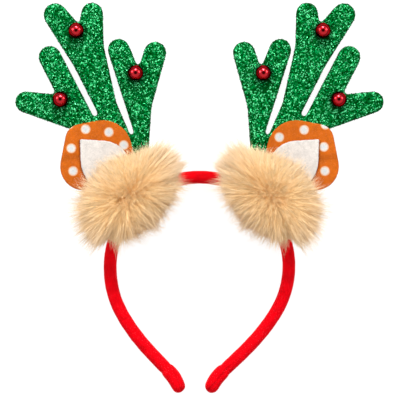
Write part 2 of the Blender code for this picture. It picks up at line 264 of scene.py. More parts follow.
class GlitterLook(bpy.types.PropertyGroup):
    # The dark, light and spark grains are painted shade, painted light and painted glints, given to the
    # grains at random.
    dark: colour("Dark", "Colour of grains in shade", (0.0, 0.021, 0.0004))
    middle: colour("Middle", "Colour of most grains", (0.0, 0.083, 0.0110))
    light: colour("Light", "Colour of grains that catch light", (0.002, 0.282, 0.068))
    spark: colour("Spark", "Colour of the brightest grains", (0.11, 0.71, 0.30))
    grain: length("Grain", "Size of a grain in the cloth", 0.00076)
    flake: length("Flake", "Size of a loose flake, across its corners", 0.00080)
    flakes: number("Flakes", "Flakes on each antler", 10000)
    tilt: amount("Tilt", "How far flakes and grains lean out of the cloth", 0.34)
    round_over: length("Rounding", "How far from its rim the padding reaches its full height", 0.0042)


class PearlLook(bpy.types.PropertyGroup):
    red: colour("Red", "Colour of the pearls", (0.56, 0.002, 0.010))
    seat: length("Seat", "How deep each pearl is flattened where it is glued", 0.00012)


class FeltLook(bpy.types.PropertyGroup):
    orange: colour("Orange", "Colour of the ears", (0.50, 0.108, 0.008))
    cream: colour("Cream", "Colour of the inner ears", (0.64, 0.60, 0.56))
    dot: colour("Dot", "Colour of the printed dots", (0.56, 0.55, 0.54))
    dot_ring: colour("Dot ring", "Colour of the print's thin edge", (0.64, 0.40, 0.22))
    dot_middle: colour("Dot middle", "Colour in the middle of a dot", (0.47, 0.53, 0.57))
    dot_size: length("Dot size", "Width of a printed dot", 0.0068)
    fuzz: number("Fuzz", "Loose fibres on each ear", 6000)
    fuzz_length: length("Fuzz length", "Length of a loose fibre", 0.0011)


class FurLook(bpy.types.PropertyGroup):
    deep: colour("Deep", "Colour at the roots", (0.91, 0.58, 0.235))
    middle: colour("Middle", "Colour of the strands' bodies", (0.865, 0.60, 0.285))
    tip: colour("Tip", "Colour of the tips in the middle of a pompom", (0.85, 0.63, 0.37))
    pale: colour("Pale", "Colour of the tips round a pompom's edge", (0.86, 0.69, 0.51))
    strands: number("Strands", "Strands in each pompom", 63200)
    tufts: number("Tufts", "Broad tufts that a pompom's strands gather into", 130)
    locks: number("Locks", "Fine locks that they gather into within the tufts", 3600)
    lean: amount("Lean", "How far tufts and locks lean to one side", 0.07)
    lie: amount("Lie", "How far strands lie over, away from the pompom's middle", 0.70)
    ridge: amount("Ridge", "Half of the length of the parting in the middle", 0.16)
    front: amount("Front", "Share of the strands at the back that are set in the front instead", 0.55)


class StageLook(bpy.types.PropertyGroup):
    floor: colour("Floor", "Colour of the floor", (0.12, 0.12, 0.12))
    glow: amount("Glow", "How brightly the floor is lit from behind, as a light table is", 0.97)
    view_width: length("View width", "What the picture shows across, at the antlers' height", 0.2590)
    camera_height: length("Camera height", "From the antlers to the camera", 1.30)
    dome: amount("Dome", "Strength of the light from all round", 1.0, 5.0)
    key: FloatProperty(name="Key", description="Power of the main soft light", default=15.0, unit="POWER")


class HeadbandLook(bpy.types.PropertyGroup):
    velvet: PointerProperty(type=VelvetLook)
    glitter: PointerProperty(type=GlitterLook)
    pearl: PointerProperty(type=PearlLook)
    felt: PointerProperty(type=FeltLook)
    fur: PointerProperty(type=FurLook)
    stage: PointerProperty(type=StageLook)


# Meshes


def unit(vectors):
    return vectors / np.maximum(np.linalg.norm(vectors, axis=-1, keepdims=True), 1e-12)


def random_units(rng, count):
    return unit(rng.normal(size=(count, 3)))


def points_of(mesh):
    points = np.empty(len(mesh.vertices) * 3, np.float32)
    mesh.vertices.foreach_get("co", points)
    return points.reshape(-1, 3).astype(float)


def normals_of(mesh):
    normals = np.empty(len(mesh.vertices) * 3, np.float32)
    mesh.vertices.foreach_get("normal", normals)
    return normals.reshape(-1, 3).astype(float)


def put_points(mesh, points):
    mesh.vertices.foreach_set("co", points.astype(np.float32).ravel())
    mesh.update()


def mesh_of(name, points, faces):
    """A mesh from arrays: its points, and its faces as one array for each number of corners."""
    mesh = bpy.data.meshes.new(name)
    mesh.vertices.add(len(points))
    mesh.vertices.foreach_set("co", points.astype(np.float32).ravel())
    corners = np.concatenate([rows.ravel() for rows in faces])
    totals = np.concatenate([np.full(len(rows), rows.shape[1]) for rows in faces])
    mesh.loops.add(len(corners))
    mesh.loops.foreach_set("vertex_index", corners.astype(np.int32))
    mesh.polygons.add(len(totals))
    starts = np.concatenate([[0], np.cumsum(totals)[:-1]])
    mesh.polygons.foreach_set("loop_start", starts.astype(np.int32))
    mesh.update(calc_edges=True)
    return mesh


def mark(mesh, name, values):
    """Keeps a value for each point, for the materials to read."""
    mesh.attributes.new(name, "FLOAT", "POINT").data.foreach_set("value", values.astype(np.float32).ravel())


def new_object(name, mesh):
    thing = bpy.data.objects.new(name, mesh)
    bpy.context.scene.collection.objects.link(thing)
    return thing


def show(thing, finish, slot, *nodes):
    """Gives a piece its material and its place in the frame, for the nodes that it stands for."""
    thing.data.materials.clear()
    thing.data.materials.append(finish)
    thing.data.shade_smooth()
    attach(thing, "root")
    if nodes:
        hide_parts(*nodes)
    return thing


def merged_copy(node):
    """A CAD node's form as one closed surface."""
    bm = bmesh.new()
    bm.from_mesh(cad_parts[node].data)
    bmesh.ops.remove_doubles(bm, verts=bm.verts, dist=MERGE)
    return bm


def settle(thing):
    """Makes an object's modifiers real."""
    graph = bpy.context.evaluated_depsgraph_get()
    mesh = bpy.data.meshes.new_from_object(thing.evaluated_get(graph))
    thing.modifiers.clear()
    thing.data = mesh
    return thing


def even_skin(name, node, skin):
    """A CAD node's form in small even faces, with its facets smoothed away."""
    bm = merged_copy(node)
    mesh = bpy.data.meshes.new(name)
    bm.to_mesh(mesh)
    bm.free()
    thing = new_object(name, mesh)
    even = thing.modifiers.new("even faces", "REMESH")
    even.mode = "VOXEL"
    even.voxel_size = skin.face
    soft = thing.modifiers.new("soften", "SMOOTH")
    soft.factor = 0.5
    soft.iterations = skin.rounds
    return settle(thing)


def scatter(rng, mesh, count):
    """Random places on a mesh, evenly by area, and the way that the surface faces there."""
    mesh.calc_loop_triangles()
    corners = np.empty(len(mesh.loop_triangles) * 3, np.int32)
    mesh.loop_triangles.foreach_get("vertices", corners)
    first, second, third = np.swapaxes(points_of(mesh)[corners.reshape(-1, 3)], 0, 1)
    crossed = np.cross(second - first, third - first)
    area = np.linalg.norm(crossed, axis=1)
    chosen = rng.choice(len(area), count, p=area / area.sum())
    u, v = rng.random((2, count, 1))
    outside = u + v > 1
    u = np.where(outside, 1 - u, u)
    v = np.where(outside, 1 - v, v)
    places = first[chosen] + u * (second - first)[chosen] + v * (third - first)[chosen]
    return places, crossed[chosen] / area[chosen, None]


def ribbons(name, paths, widths, facing, **marks):
    """Thin ribbons as one mesh, each running along its path to a point.

    paths holds a place for each ribbon and section, widths a width for each section but the last, facing
    the way that each ribbon's flat side looks, and marks values to keep for each ribbon and section.
    """
    count, sections, _ = paths.shape
    steps = paths[:, 1:] - paths[:, :-1]
    across = unit(np.cross(steps, facing[:, None])) * widths[..., None] / 2
    edges = np.stack([paths[:, :-1] - across, paths[:, :-1] + across], axis=2)
    points = np.concatenate([edges.reshape(count, -1, 3), paths[:, -1:]], axis=1)
    each = points.shape[1]
    first = np.arange(count)[:, None] * each
    start = first + 2 * np.arange(sections - 2)[None]
    quads = np.stack([start, start + 1, start + 3, start + 2], axis=-1).reshape(-1, 4)
    ends = first + np.array([[each - 3, each - 2, each - 1]])
    mesh = mesh_of(name, points.reshape(-1, 3), [quads, ends])
    for word, values in marks.items():
        values = np.broadcast_to(values, (count, sections))
        spread = np.concatenate([np.repeat(values[:, :-1], 2, axis=1), values[:, -1:]], axis=1)
        mark(mesh, word, spread)
    return new_object(name, mesh)


def loose_fibres(name, rng, skin, count, size, lie):
    """Short fibres rooted on a surface. lie is 0 where they stand up and 1 where they lie flat."""
    roots, out = scatter(rng, skin, count)
    along = unit(out * (1 - lie) + lie * unit(np.cross(out, random_units(rng, count))))
    reach = size * rng.uniform(*FIBRE_LENGTHS, (count, 1))
    ends = roots + reach * unit(along + FIBRE_SPREAD * rng.normal(size=(count, 3)))
    paths = np.stack([roots, ends], axis=1)
    widths = FIBRE_WIDTH * size * rng.uniform(*FIBRE_WIDTHS, (count, 1))
    return ribbons(name, paths, widths, out, tone=rng.random((count, 1)))


# Materials


def add_node(tree, kind, values=None, **settings):
    """A shader node with its settings, and for its inputs the values or the sockets that feed them."""
    made = tree.nodes.new(kind)
    for word, value in settings.items():
        setattr(made, word, value)
    for socket, value in (values or {}).items():
        if isinstance(value, bpy.types.NodeSocket):
            tree.links.new(value, made.inputs[socket])
        else:
            made.inputs[socket].default_value = value
    return made


def calculate(tree, operation, first, second=0.0, third=0.0):
    values = {0: first, 1: second, 2: third}
    return add_node(tree, "ShaderNodeMath", values, operation=operation).outputs[0]


def calculate_vector(tree, operation, *vectors):
    return add_node(tree, "ShaderNodeVectorMath", dict(enumerate(vectors)), operation=operation).outputs[0]


def noise(tree, place, scale, detail, distortion=0.0):
    values = {"Vector": place, "Scale": scale, "Detail": detail, "Distortion": distortion}
    return add_node(tree, "ShaderNodeTexNoise", values).outputs


def blend(tree, factor, first, second, way="MIX"):
    made = add_node(tree, "ShaderNodeMix", data_type="RGBA", blend_type=way)
    for socket, value in ((0, factor), (6, first), (7, second)):
        if isinstance(value, bpy.types.NodeSocket):
            tree.links.new(value, made.inputs[socket])
        elif socket == 0:
            made.inputs[socket].default_value = value
        else:
            made.inputs[socket].default_value = (*value, 1.0)
    return made.outputs[2]


def darkened(tree, first, second):
    """One colour times another."""
    return blend(tree, 1.0, first, second, "MULTIPLY")


def ramp(tree, factor, *stops):
    """A colour that follows a factor through (place, colour) stops."""
    made = add_node(tree, "ShaderNodeValToRGB", {"Fac": factor})
    while len(made.color_ramp.elements) < len(stops):
        made.color_ramp.elements.new(1.0)
    for element, (place, shade) in zip(made.color_ramp.elements, stops):
        element.position = place
        element.color = (*shade, 1.0)
    return made.outputs["Color"]


def grey(value):
    return (value, value, value)


def object_place(tree):
    return add_node(tree, "ShaderNodeTexCoord").outputs["Object"]


def kept(tree, word):
    """A value that the mesh keeps for each of its points."""
    return add_node(tree, "ShaderNodeAttribute", attribute_name=word).outputs["Fac"]


def new_finish(name, values):
    """A material, and the tree that it is made in, with the shader's even values set."""
    made = bpy.data.materials.new(name)
    made.use_nodes = True
    shader = made.node_tree.nodes["Principled BSDF"]
    for socket, value in values.items():
        shader.inputs[socket].default_value = value
    return made, made.node_tree, shader


def roughen(tree, shader, height, strength, depth):
    """Bumps that follow a height over the surface."""
    bump = add_node(tree, "ShaderNodeBump", {"Height": height, "Strength": strength, "Distance": depth})
    tree.links.new(bump.outputs[0], shader.inputs["Normal"])


def new_group(name, takes, gives):
    """A node group with its inputs and outputs, as (tree, its inputs' sockets, its output node)."""
    tree = bpy.data.node_groups.new(name, "ShaderNodeTree")
    for way, sockets in (("INPUT", takes), ("OUTPUT", gives)):
        for word, kind in sockets.items():
            tree.interface.new_socket(name=word, in_out=way, socket_type="NodeSocket" + kind)
    entry = tree.nodes.new("NodeGroupInput")
    return tree, entry.outputs, tree.nodes.new("NodeGroupOutput")


def grouped(tree, group, values):
    made = add_node(tree, "ShaderNodeGroup", node_tree=group)
    for socket, value in values.items():
        if isinstance(value, bpy.types.NodeSocket):
            tree.links.new(value, made.inputs[socket])
        else:
            made.inputs[socket].default_value = value
    return made.outputs


def fibre_group():
    """Matted fibres: a shade that wanders in patches and streaks, and a height for a bump."""
    if "matted fibres" in bpy.data.node_groups:
        return bpy.data.node_groups["matted fibres"]
    takes = {"Place": "Vector", "Fibre": "Float", "Patch": "Float"}
    tree, given, result = new_group("matted fibres", takes, {"Shade": "Float", "Height": "Float"})
    fine = calculate(tree, "DIVIDE", 1.0, given["Fibre"])
    broad = calculate(tree, "DIVIDE", 1.0, given["Patch"])
    warp = noise(tree, given["Place"], fine, 2.0)["Color"]
    bend = calculate_vector(tree, "MULTIPLY", warp, (FIBRE_BEND,) * 3)
    bent = calculate_vector(tree, "ADD", given["Place"], bend)
    threads = noise(tree, bent, fine, 5.0, 1.6)["Fac"]
    patches = noise(tree, given["Place"], broad, 3.0, 0.6)["Fac"]
    mixed = calculate(
        tree, "ADD", calculate(tree, "MULTIPLY", threads, THREAD_SHARE),
        calculate(tree, "MULTIPLY", patches, PATCH_SHARE),
    )
    tree.links.new(mixed, result.inputs["Shade"])
    tree.links.new(threads, result.inputs["Height"])
    return tree


def glitter_group(look):
    """A grain's colour for its random tone: mostly mid green, with dark grains of painted shade and mint
    grains of painted glint, darkened by a painted shade at the rim and a painted shadow round the pearls.
    """
    if "glitter colours" in bpy.data.node_groups:
        return bpy.data.node_groups["glitter colours"]
    takes = {"Tone": "Float", "PaintedLight": "Float", "Place": "Vector"}
    tree, given, result = new_group("glitter colours", takes, {"Colour": "Color"})
    patches = noise(tree, given["Place"], 1 / GLITTER_PATCH, 3.0)["Fac"]
    shift = calculate(tree, "MULTIPLY_ADD", patches, 0.5, -0.25)
    # Round the mid green, random grains get painted shade, painted light and painted glints.
    shade = ramp(
        tree, calculate(tree, "ADD", given["Tone"], shift),
        (0.0, look.dark), (0.32, look.middle), (0.62, look.middle), (0.82, look.light), (0.95, look.spark),
    )
    # The painted light darkens the grains: painted shade at the rim, painted shadow round the pearls.
    light = ramp(tree, given["PaintedLight"], (0.0, grey(0.28)), (1.0, grey(1.0)))
    tree.links.new(darkened(tree, shade, light), result.inputs["Colour"])
    return tree


def velvet_finish(look):
    made, tree, shader = new_finish("red velvet", {
        "Roughness": 0.85, "Sheen Weight": 0.35, "Sheen Roughness": 0.30, "Sheen Tint": (*look.rim, 1.0),
        "Specular IOR Level": 0.04,
    })
    pile = grouped(tree, fibre_group(), {"Place": object_place(tree), "Fibre": 0.0009, "Patch": 0.006})
    shade = ramp(tree, pile["Shade"], (0.36, look.shade), (0.60, look.pile))
    # Painted shade, darker along the fold in each gathered tip.
    painted_crease_shade = ramp(tree, kept(tree, "painted_crease_shade"), (0.1, grey(1.0)), (1.0, grey(0.80)))
    tree.links.new(darkened(tree, shade, painted_crease_shade), shader.inputs["Base Color"])
    roughen(tree, shader, pile["Height"], 0.5, 0.0003)
    return made


def pile_finish(look):
    made, tree, shader = new_finish("velvet hairs", {"Roughness": 0.7, "Specular IOR Level": 0.05})
    # The hairs' colour runs at random from the pressed red to the sheen's pink, a painted sheen.
    shade = ramp(tree, kept(tree, "tone"), (0.0, look.shade), (1.0, look.rim))
    tree.links.new(shade, shader.inputs["Base Color"])
    return made


def glitter_cloth_finish(look):
    made, tree, shader = new_finish(
        "green glitter cloth", {"Roughness": 0.5, "Metallic": 0.3, "Specular IOR Level": 0.0}
    )
    grains = add_node(
        tree, "ShaderNodeTexVoronoi", {"Vector": object_place(tree), "Scale": 1.0 / look.grain}, feature="F1"
    )
    tones = add_node(tree, "ShaderNodeSeparateColor", {"Color": grains.outputs["Color"]})
    known = {"Tone": tones.outputs["Red"], "PaintedLight": kept(tree, "painted_light"), "Place": object_place(tree)}
    tree.links.new(grouped(tree, glitter_group(look), known)["Colour"], shader.inputs["Base Color"])
    lean = calculate_vector(tree, "SUBTRACT", grains.outputs["Color"], (0.5, 0.5, 0.5))
    scaled = calculate_vector(tree, "MULTIPLY", lean, (GRAIN_LEAN * look.tilt,) * 3)
    leaning = calculate_vector(tree, "ADD", add_node(tree, "ShaderNodeNewGeometry").outputs["Normal"], scaled)
    tree.links.new(calculate_vector(tree, "NORMALIZE", leaning), shader.inputs["Normal"])
    return made


def flake_finish(look):
    made, tree, shader = new_finish(
        "green glitter flakes", {"Roughness": 0.42, "Metallic": 0.8, "Specular IOR Level": 0.0}
    )
    known = {"Tone": kept(tree, "tone"), "PaintedLight": kept(tree, "painted_light"), "Place": object_place(tree)}
    tree.links.new(grouped(tree, glitter_group(look), known)["Colour"], shader.inputs["Base Color"])
    return made


def pearl_finish(look):
    made, tree, shader = new_finish("red pearl", {
        "Roughness": 0.15, "Metallic": 1.0, "Specular Tint": (1.0, 0.25, 0.30, 1.0), "Coat Roughness": 0.03,
    })
    # Painted shade darkens the red lower down on a pearl, where its coat is also thinner.
    light = ramp(tree, kept(tree, "painted_light"), (0.0, grey(0.10)), (1.0, grey(1.0)))
    coat = ramp(tree, kept(tree, "painted_light"), (0.35, grey(0.0)), (1.0, grey(0.5)))
    tree.links.new(coat, shader.inputs["Coat Weight"])
    cloud = noise(tree, object_place(tree), 1 / PEARL_CLOUD, 2.0)["Fac"]
    lower = [0.82 * part for part in look.red]
    shade = ramp(tree, cloud, (0.3, lower), (0.7, look.red))
    tree.links.new(darkened(tree, shade, light), shader.inputs["Base Color"])
    return made


def felt_base(name, shade):
    """Felt of one colour, as (material, tree, shader, its colour's socket)."""
    made, tree, shader = new_finish(
        name, {"Roughness": 0.95, "Sheen Weight": 0.05, "Sheen Roughness": 0.5, "Specular IOR Level": 0.03}
    )
    fibres = grouped(tree, fibre_group(), {"Place": object_place(tree), "Fibre": 0.0008, "Patch": 0.004})
    darker = [0.72 * part for part in shade]
    lighter = [min(1.0, 1.10 * part) for part in shade]
    coloured = ramp(tree, fibres["Shade"], (0.34, darker), (0.64, lighter))
    roughen(tree, shader, fibres["Height"], 0.6, 0.0004)
    return made, tree, shader, coloured


def ear_finish(look, word, side):
    """Orange felt with printed dots, a painted shade along the faint fold and a painted shadow beside the
    inner ear, for the ear on one side.
    """
    made, tree, shader, felt = felt_base("orange felt " + word, look.orange)
    low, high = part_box("ear_" + word)
    place = object_place(tree)
    flat = calculate_vector(tree, "MULTIPLY", place, (1.0, 1.0, 0.0))
    nearest = None
    for dot in DOTS[word]:
        inner = low.x if side > 0 else high.x
        centre = (inner + side * dot.out * (high.x - low.x), low.y + dot.up * (high.y - low.y), 0.0)
        away = add_node(tree, "ShaderNodeVectorMath", {0: flat, 1: centre}, operation="DISTANCE")
        if nearest is None:
            nearest = away.outputs["Value"]
        else:
            nearest = calculate(tree, "MINIMUM", nearest, away.outputs["Value"])
    ragged = noise(tree, place, 1 / DOT_GRAIN, 2.0)["Fac"]
    wander = calculate(tree, "MULTIPLY_ADD", ragged, DOT_WANDER, -DOT_WANDER / 2)
    share = calculate(tree, "DIVIDE", calculate(tree, "ADD", nearest, wander), look.dot_size / 2)
    print_colour = ramp(
        tree, share, (0.08, look.dot_middle), (0.34, look.dot), (0.62, look.dot), (0.84, look.dot_ring)
    )
    inside = ramp(tree, share, (0.82, grey(1.0)), (1.0, grey(0.0)))
    rows = add_node(tree, "ShaderNodeSeparateXYZ", {"Vector": place})
    # Painted shade, darker along the faint fold.
    fold_at = low.y + EAR_FOLD_UP * (high.y - low.y)
    off_fold = calculate(tree, "ABSOLUTE", calculate(tree, "SUBTRACT", rows.outputs["Y"], fold_at))
    fold = ramp(
        tree, calculate(tree, "DIVIDE", off_fold, EAR_FOLD_SHADE), (0.0, grey(0.80)), (1.0, grey(1.0))
    )
    printed = blend(tree, inside, darkened(tree, felt, fold), print_colour)
    # Painted shadow beside the inner ear's outer edge.
    inner_ear_painted_shadow = ramp(tree, kept(tree, "inner_ear_painted_shadow"), (0.0, grey(1.0)), (1.0, (0.36, 0.26, 0.22)))
    tree.links.new(darkened(tree, printed, inner_ear_painted_shadow), shader.inputs["Base Color"])
    return made


def cream_finish(look):
    made, tree, shader, felt = felt_base("cream felt", look.cream)
    tree.links.new(felt, shader.inputs["Base Color"])
    return made


def fuzz_finish(name, shade):
    made, tree, shader = new_finish(name, {"Roughness": 0.9})
    pale = [min(1.0, 1.25 * part + 0.04) for part in shade]
    toned = ramp(tree, kept(tree, "tone"), (0.0, [0.8 * part for part in shade]), (1.0, pale))
    tree.links.new(toned, shader.inputs["Base Color"])
    return made


def fur_finish(look):
    made, tree, shader = new_finish("tan fur", {
        "Roughness": 0.55, "Sheen Weight": 0.15, "Sheen Roughness": 0.4, "Specular IOR Level": 0.25,
        "Emission Strength": PAINTED_FUR_GLOW,
    })
    along = kept(tree, "along")
    inner = ramp(tree, along, (0.0, look.deep), (0.5, look.middle), (1.0, look.tip))
    outer = ramp(tree, along, (0.0, look.deep), (0.45, look.middle), (0.9, look.pale))
    spread = blend(tree, kept(tree, "edge"), inner, outer)
    tone = ramp(tree, kept(tree, "tone"), (0.0, grey(0.60)), (0.45, grey(0.93)), (1.0, grey(1.0)))
    shade = darkened(tree, spread, tone)
    tree.links.new(shade, shader.inputs["Base Color"])
    # Painted glow: the fur gives off light in its own colour, more in the middle than at its edge.
    painted_glow_share = ramp(tree, kept(tree, "edge"), (0.0, grey(1.0)), (0.8, grey(0.35)))
    tree.links.new(darkened(tree, shade, painted_glow_share), shader.inputs["Emission Color"])
    return made


# Pieces


def make_velvet_band(look):
    """The padded strip in one smooth skin, with a fold in the gathered velvet of each tip and a painted shade
    along it.
    """
    bm = merged_copy("headband")
    bmesh.ops.join_triangles(
        bm, faces=bm.faces, angle_face_threshold=radians(50), angle_shape_threshold=radians(60)
    )
    mesh = bpy.data.meshes.new("velvet_band")
    bm.to_mesh(mesh)
    bm.free()
    band = new_object("velvet_band", mesh)
    smooth = band.modifiers.new("smooth", "SUBSURF")
    smooth.levels = smooth.render_levels = 2
    settle(band)
    points, out = points_of(band.data), normals_of(band.data)
    low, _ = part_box("headband")
    waves = [np.sin(points[:, 0] * in_x + points[:, 1] * in_y) for in_x, in_y in WAVE_TURNS]
    sunk = WAVE_DEPTH * np.prod(waves, axis=0) - SWELL
    painted_crease_weight = np.zeros(len(points))
    for side in (-1, 1):
        near = (side * (points[:, 0] - LEG_MIDDLE) > 0) & (points[:, 1] < low.y + SLEEVE_LENGTH)
        ends = points[near]
        if not len(ends):
            raise RuntimeError("the band has no tip where the fold should be")
        start = ends[np.argmax(ends[:, 1])]
        stop = ends[np.argmin(ends[:, 1])]
        line = unit((stop - start)[:2])
        off = (points[:, :2] - start[:2]) @ np.array([-line[1], line[0]])
        groove = np.exp(-((off + side * FOLD_ASIDE) / FOLD_WIDTH) ** 2) * near * (out[:, 2] > FRONT_NORMAL)
        sunk += look.fold_depth * groove
        painted_crease_weight += groove
    put_points(band.data, points - out * sunk[:, None])
    lift_off_floor(band, BAND_GAP)
    # The groove is kept for the painted shade along each fold.
    mark(band.data, "painted_crease_shade", painted_crease_weight)
    show(band, velvet_finish(look), "red_velvet", "headband")
    rng = np.random.default_rng(11)
    pile = loose_fibres("band_pile", rng, band.data, look.hairs, look.hair_length, PILE_LIE)
    show(pile, pile_finish(look), "red_velvet")
    lift_off_floor(pile, FLOOR_GAP)


def lift_off_floor(thing, gap):
    points = points_of(thing.data)
    points[:, 2] = np.maximum(points[:, 2], gap)
    put_points(thing.data, points)


def painted_light(points, rim, pearls):
    """Painted light for places on an antler, which darkens their colour: a painted shade at its rim and a
    painted shadow round its pearls.
    """
    away = np.array([rim.find((x, y, 0.0))[2] for x, y, _ in points])
    light = np.clip(RIM_LIGHT + (1 - RIM_LIGHT) * away / RIM_SHADE, 0, 1)
    for centre, radius in pearls:
        off = np.hypot(points[:, 0] - centre.x, points[:, 1] - centre.y) - radius
        light = np.minimum(light, np.clip(PEARL_SHADOW_LEAST + off / PEARL_SHADOW_REACH, 0, 1))
    return light


def puff(mesh, round_over):
    """Rounds a flat pad from its rim up to its full height, as stuffing does, and gives its rim."""
    points = points_of(mesh)
    low, high = points[:, 2].min(), points[:, 2].max()
    middle, half = (low + high) / 2, (high - low) / 2
    rim = np.flatnonzero(np.abs(points[:, 2] - middle) < PAD_RIM * half)
    tree = KDTree(len(rim))
    for place in rim:
        tree.insert((points[place, 0], points[place, 1], 0.0), int(place))
    tree.balance()
    away = np.array([tree.find((x, y, 0.0))[2] for x, y, _ in points])
    inside = np.minimum(away / round_over, 1.0)
    full = PAD_LEAST + (1 - PAD_LEAST) * np.sqrt(1 - (1 - inside) ** 2)
    points[:, 2] = middle + (points[:, 2] - middle) * full
    put_points(mesh, points)
    return tree


def make_flakes(name, rng, skin, look, rim, pearls):
    """Loose hexagonal flakes, each leaning its own way on the glitter cloth."""
    places, out = scatter(rng, skin, look.flakes)
    facing = unit(out + look.tilt * rng.normal(size=out.shape))
    across = unit(np.cross(facing, random_units(rng, len(facing))))
    up = np.cross(facing, across)
    radius = look.flake / 2 * rng.uniform(*FLAKE_SIZES, (len(facing), 1, 1))
    turns = np.arange(FLAKE_CORNERS) * tau / FLAKE_CORNERS
    rose = np.cos(turns)[None, :, None] * across[:, None] + np.sin(turns)[None, :, None] * up[:, None]
    corners = (places + FLAKE_LIFT * out)[:, None] + radius * rose
    mesh = mesh_of(name, corners.reshape(-1, 3), [np.arange(corners[..., 0].size).reshape(-1, FLAKE_CORNERS)])
    mark(mesh, "tone", np.repeat(rng.random(len(facing)), FLAKE_CORNERS))
    # The flakes take the same painted shade at the rim and painted shadow round the pearls.
    mark(mesh, "painted_light", np.repeat(painted_light(places, rim, pearls), FLAKE_CORNERS))
    return new_object(name, mesh)


def make_glitter_antlers(look):
    cloth, flake = glitter_cloth_finish(look), flake_finish(look)
    for word, side in SIDES:
        antler = even_skin("glitter_antler_" + word, "antler_" + word, ANTLER_SKIN)
        rim = puff(antler.data, look.round_over)
        pearls = []
        for place in BEADS:
            low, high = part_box(f"bead_{word}_{place}")
            pearls.append(((low + high) / 2, (high.x - low.x) / 2))
        # Painted shade at the rim and painted shadow round the pearls, kept for the cloth's colour.
        mark(antler.data, "painted_light", painted_light(points_of(antler.data), rim, pearls))
        show(antler, cloth, "green_glitter", "antler_" + word)
        rng = np.random.default_rng(20 + side)
        flakes = make_flakes("glitter_flakes_" + word, rng, antler.data, look, rim, pearls)
        show(flakes, flake, "green_glitter")


def make_pearls(look):
    finish = pearl_finish(look)
    for word, _ in SIDES:
        for place in BEADS:
            low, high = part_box(f"bead_{word}_{place}")
            radius = (high.x - low.x) / 2
            centre = (low + high) / 2
            bm = bmesh.new()
            bmesh.ops.create_uvsphere(bm, u_segments=48, v_segments=32, radius=radius)
            seat = bmesh.ops.bisect_plane(
                bm, geom=bm.verts[:] + bm.edges[:] + bm.faces[:],
                plane_co=(0, 0, look.seat - radius), plane_no=(0, 0, -1), clear_outer=True,
            )
            rim = [piece for piece in seat["geom_cut"] if isinstance(piece, bmesh.types.BMEdge)]
            bmesh.ops.holes_fill(bm, edges=rim)
            bmesh.ops.translate(bm, verts=bm.verts, vec=centre)
            name = f"pearl_{word}_{place}"
            mesh = bpy.data.meshes.new(name)
            bm.to_mesh(mesh)
            bm.free()
            # Painted shade: the pearl's red is darker lower down.
            height = (points_of(mesh)[:, 2] - centre.z) / radius
            mark(mesh, "painted_light", np.clip((height - PEARL_DARK) / (PEARL_LIT - PEARL_DARK), 0, 1))
            show(new_object(name, mesh), finish, "red_pearl", f"bead_{word}_{place}")


def paint_inner_ear_shadow(points, word, side):
    """How deep in the painted shadow of the inner ear's outer edge places on an ear lie."""
    inner = merged_copy("inner_ear_" + word)
    tree = BVHTree.FromBMesh(inner)
    inner.free()
    shade = np.zeros(len(points))
    for place, point in enumerate(points):
        away = Vector(point) - tree.find_nearest(point)[0]
        off = max(away.xy.length, NO_WAY)
        outward = (away.x * side - INNER_EAR_SHADOW_FALL * away.y) / off
        shade[place] = max(0.0, 1 - off / INNER_EAR_SHADOW_WIDTH) * min(max(outward, 0.0), 1.0)
    return shade


def make_felt_ears(look):
    cream = cream_finish(look)
    orange_fuzz = fuzz_finish("orange fuzz", look.orange)
    cream_fuzz = fuzz_finish("cream fuzz", look.cream)
    for word, side in SIDES:
        rng = np.random.default_rng(40 + side)
        orange = ear_finish(look, word, side)
        for node, skin, finish, slot, fuzz, rests_on in (
            ("ear_", EAR_SKIN, orange, "orange_felt", orange_fuzz, "glitter_antler_"),
            ("inner_ear_", INNER_EAR_SKIN, cream, "cream_felt", cream_fuzz, "felt_ear_"),
        ):
            leaf = even_skin("felt_" + node + word, node + word, skin)
            low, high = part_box(node + word)
            points = points_of(leaf.data)
            fold_at = low.y + EAR_FOLD_UP * (high.y - low.y)
            if node == "ear_":
                across = (points[:, 1] - fold_at) / EAR_FOLD_WIDTH
                outer = np.clip((side * points[:, 0] - EAR_FOLD_OUT) / EAR_FOLD_RISE, 0, 1)
                points[:, 2] -= EAR_FOLD_DEPTH * np.exp(-across**2) * outer
                # Kept for the painted shadow beside the inner ear.
                mark(leaf.data, "inner_ear_painted_shadow", paint_inner_ear_shadow(points, word, side))
            else:
                tip = Vector((high.x if side > 0 else low.x, high.y))
                off = np.hypot(points[:, 0] - tip.x, points[:, 1] - tip.y)
                drawn = CORNER_PULL * np.clip(1 - off / CORNER_REACH, 0, 1)
                points[:, 0] += drawn * (tip.x - points[:, 0])
                points[:, 1] += drawn * (tip.y - points[:, 1])
            put_points(leaf.data, points)
            show(leaf, finish, slot, node + word)
            fibres = loose_fibres(
                "fuzz_" + node + word, rng, leaf.data, look.fuzz, look.fuzz_length, FUZZ_LIE
            )
            show(fibres, fuzz, slot)


def neighbours(word):
    """What a pompom's strands lie against, as one tree of triangles for finding where they would pass in."""
    points, faces = [], []
    for node in ("headband", "antler_" + word, "ear_" + word, "inner_ear_" + word):
        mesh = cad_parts[node].data
        start = len(points)
        points += [corner.co.copy() for corner in mesh.vertices]
        faces += [[start + corner for corner in face.vertices] for face in mesh.polygons]
    return BVHTree.FromPolygons(points, faces)


def clear_strands(paths, tree, highest):
    """Which strands pass into nothing. Only stretches below the highest neighbour are looked at."""
    clear = np.ones(len(paths), bool)
    starts, steps = paths[:, :-1], paths[:, 1:] - paths[:, :-1]
    low = np.minimum(paths[:, :-1, 2], paths[:, 1:, 2]) < highest
    for strand, section in zip(*np.nonzero(low)):
        if clear[strand]:
            step = Vector(steps[strand, section])
            if tree.ray_cast(Vector(starts[strand, section]), step, step.length)[0] is not None:
                clear[strand] = False
    return clear


